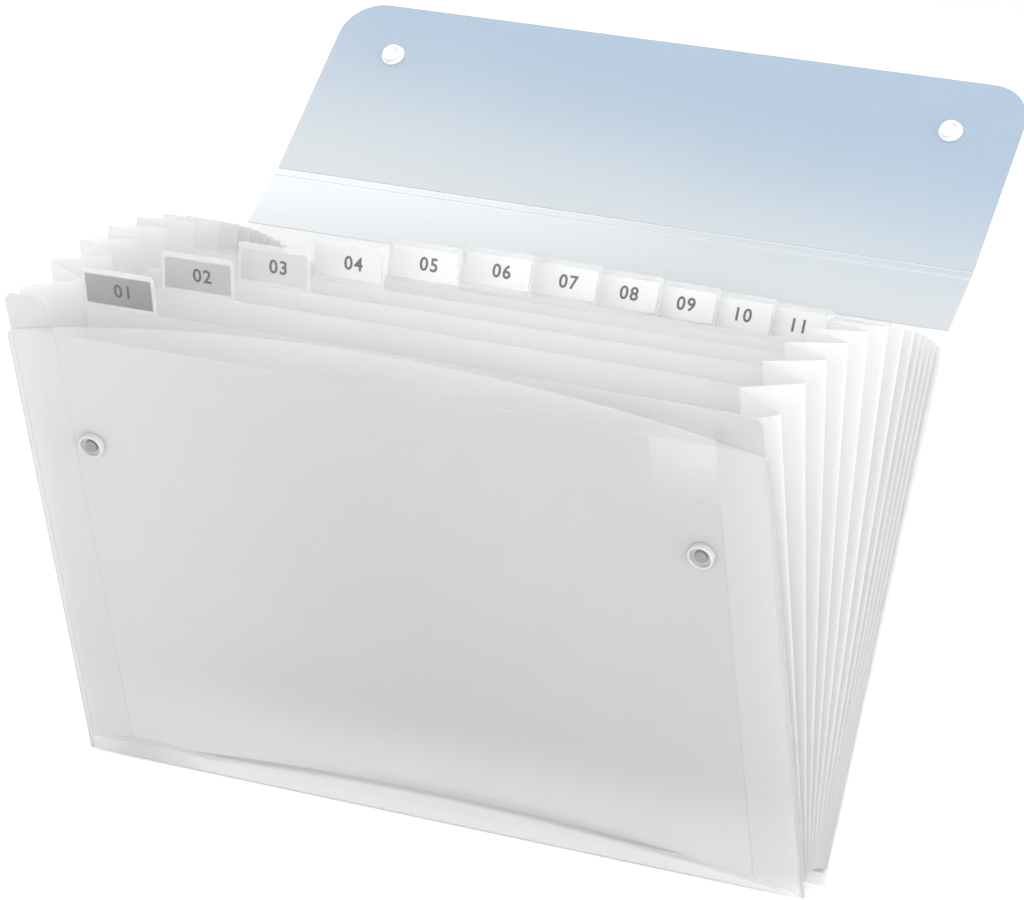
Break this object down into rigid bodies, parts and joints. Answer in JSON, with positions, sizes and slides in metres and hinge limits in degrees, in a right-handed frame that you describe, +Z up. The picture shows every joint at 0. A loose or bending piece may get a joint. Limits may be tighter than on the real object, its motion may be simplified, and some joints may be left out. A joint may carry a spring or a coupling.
{
  "type": "expanding file",
  "caption": "Translucent accordion file folder with fanned pockets, staggered index tabs, folded side gussets and a press-stud closing flap.",
  "frame": {"origin": "bottom centre of the open file's box, on the floor", "axes": "+X right along the covers, +Y from the front cover to the back cover, +Z up"},
  "size_m": [0.33, 0.302, 0.3235],
  "materials": {
    "cover_plastic": "frosted translucent sheet",
    "flap_plastic": "frosted translucent sheet, pale blue",
    "sheet_plastic": "thin frosted translucent sheet",
    "gusset_plastic": "thin frosted translucent sheet",
    "sleeve_plastic": "clear glossy film",
    "label_card": "matt printed card",
    "stud_base_plastic": "translucent moulded plastic",
    "stud_grey": "satin grey moulding",
    "socket_white": "white moulded plastic"
  },
  "bodies": {
    "front_cover": {"front_cover": "cover_plastic", "front_lining": "sheet_plastic", "front_flanges": "gusset_plastic", "stud_bases": "stud_base_plastic", "stud_heads": "stud_grey"},
    "divider_01": {"divider_01": "sheet_plastic", "tab_sleeve_01": "sleeve_plastic", "label_card_01": "label_card", "gusset_01": "gusset_plastic"},
    "divider_02": {"divider_02": "sheet_plastic", "tab_sleeve_02": "sleeve_plastic", "label_card_02": "label_card", "gusset_02": "gusset_plastic"},
    "divider_03": {"divider_03": "sheet_plastic", "tab_sleeve_03": "sleeve_plastic", "label_card_03": "label_card", "gusset_03": "gusset_plastic"},
    "divider_04": {"divider_04": "sheet_plastic", "tab_sleeve_04": "sleeve_plastic", "label_card_04": "label_card", "gusset_04": "gusset_plastic"},
    "divider_05": {"divider_05": "sheet_plastic", "tab_sleeve_05": "sleeve_plastic", "label_card_05": "label_card", "gusset_05": "gusset_plastic", "gusset_06": "gusset_plastic"},
    "divider_06": {"divider_06": "sheet_plastic", "tab_sleeve_06": "sleeve_plastic", "label_card_06": "label_card", "gusset_07": "gusset_plastic"},
    "divider_07": {"divider_07": "sheet_plastic", "tab_sleeve_07": "sleeve_plastic", "label_card_07": "label_card", "gusset_08": "gusset_plastic"},
    "divider_08": {"divider_08": "sheet_plastic", "tab_sleeve_08": "sleeve_plastic", "label_card_08": "label_card", "gusset_09": "gusset_plastic"},
    "divider_09": {"divider_09": "sheet_plastic", "tab_sleeve_09": "sleeve_plastic", "label_card_09": "label_card", "gusset_10": "gusset_plastic"},
    "divider_10": {"divider_10": "sheet_plastic", "tab_sleeve_10": "sleeve_plastic", "label_card_10": "label_card", "gusset_11": "gusset_plastic"},
    "divider_11": {"divider_11": "sheet_plastic", "tab_sleeve_11": "sleeve_plastic", "label_card_11": "label_card", "gusset_12": "gusset_plastic"},
    "divider_12": {"divider_12": "sheet_plastic", "tab_sleeve_12": "sleeve_plastic", "label_card_12": "label_card", "gusset_13": "gusset_plastic"},
    "back_cover": {"back_cover": "cover_plastic", "back_flanges": "gusset_plastic"},
    "spine_band": {"spine_band": "cover_plastic"},
    "closing_flap": {"closing_flap": "flap_plastic", "socket_rings": "socket_white", "socket_caps": "socket_white"}
  },
  "joints": [
    {"name": "pocket_01_fold", "type": "hinge", "parent": "divider_01", "child": "front_cover", "pos_m": [0, -0.03792, 0.00607], "axis": [-1, 0, 0], "range_deg": [-1.2, 6.3], "deforming": ["gusset_01"]},
    {"name": "pocket_02_fold", "type": "hinge", "parent": "divider_02", "child": "divider_01", "pos_m": [0, -0.03584, 0.00693], "axis": [-1, 0, 0], "range_deg": [-1.8, 5.7], "deforming": ["gusset_02"]},
    {"name": "pocket_03_fold", "type": "hinge", "parent": "divider_03", "child": "divider_02", "pos_m": [0, -0.03368, 0.00758], "axis": [-1, 0, 0], "range_deg": [-2.1, 5.4], "deforming": ["gusset_03"]},
    {"name": "pocket_04_fold", "type": "hinge", "parent": "divider_04", "child": "divider_03", "pos_m": [0, -0.03148, 0.00802], "axis": [-1, 0, 0], "range_deg": [-2, 5.5], "deforming": ["gusset_04"]},
    {"name": "pocket_05_fold", "type": "hinge", "parent": "divider_05", "child": "divider_04", "pos_m": [0, -0.02924, 0.00825], "axis": [-1, 0, 0], "range_deg": [-1.6, 5.9], "deforming": ["gusset_05"]},
    {"name": "pocket_06_fold", "type": "hinge", "parent": "divider_05", "child": "divider_06", "pos_m": [0, -0.02699, 0.00825], "axis": [1, 0, 0], "range_deg": [-2.1, 5.4], "deforming": ["gusset_06"]},
    {"name": "pocket_07_fold", "type": "hinge", "parent": "divider_06", "child": "divider_07", "pos_m": [0, -0.02475, 0.00804], "axis": [1, 0, 0], "range_deg": [-3.6, 3.9], "deforming": ["gusset_07"]},
    {"name": "pocket_08_fold", "type": "hinge", "parent": "divider_07", "child": "divider_08", "pos_m": [0, -0.02253, 0.00768], "axis": [1, 0, 0], "range_deg": [-5.1, 2.4], "deforming": ["gusset_08"]},
    {"name": "pocket_09_fold", "type": "hinge", "parent": "divider_08", "child": "divider_09", "pos_m": [0, -0.02033, 0.00722], "axis": [1, 0, 0], "range_deg": [-6, 1.5], "deforming": ["gusset_09"]},
    {"name": "pocket_10_fold", "type": "hinge", "parent": "divider_09", "child": "divider_10", "pos_m": [0, -0.01813, 0.00671], "axis": [1, 0, 0], "range_deg": [-6.1, 1.4], "deforming": ["gusset_10"]},
    {"name": "pocket_11_fold", "type": "hinge", "parent": "divider_10", "child": "divider_11", "pos_m": [0, -0.01596, 0.00614], "axis": [1, 0, 0], "range_deg": [-6.2, 1.3], "deforming": ["gusset_11"]},
    {"name": "pocket_12_fold", "type": "hinge", "parent": "divider_11", "child": "divider_12", "pos_m": [0, -0.01379, 0.00552], "axis": [1, 0, 0], "range_deg": [-6.2, 1.3], "deforming": ["gusset_12"]},
    {"name": "pocket_13_fold", "type": "hinge", "parent": "divider_12", "child": "back_cover", "pos_m": [0, -0.01165, 0.00486], "axis": [1, 0, 0], "range_deg": [-6.1, 1.4], "deforming": ["gusset_13"]},
    {"name": "spine_fold", "type": "hinge", "parent": "back_cover", "child": "spine_band", "pos_m": [0, 0.06394, 0.22421], "axis": [1, 0, 0], "range_deg": [-60, 118.6]},
    {"name": "flap_fold", "type": "hinge", "parent": "spine_band", "child": "closing_flap", "pos_m": [0, 0.08922, 0.24761], "axis": [1, 0, 0], "range_deg": [-80, 81.9]}
  ]
}
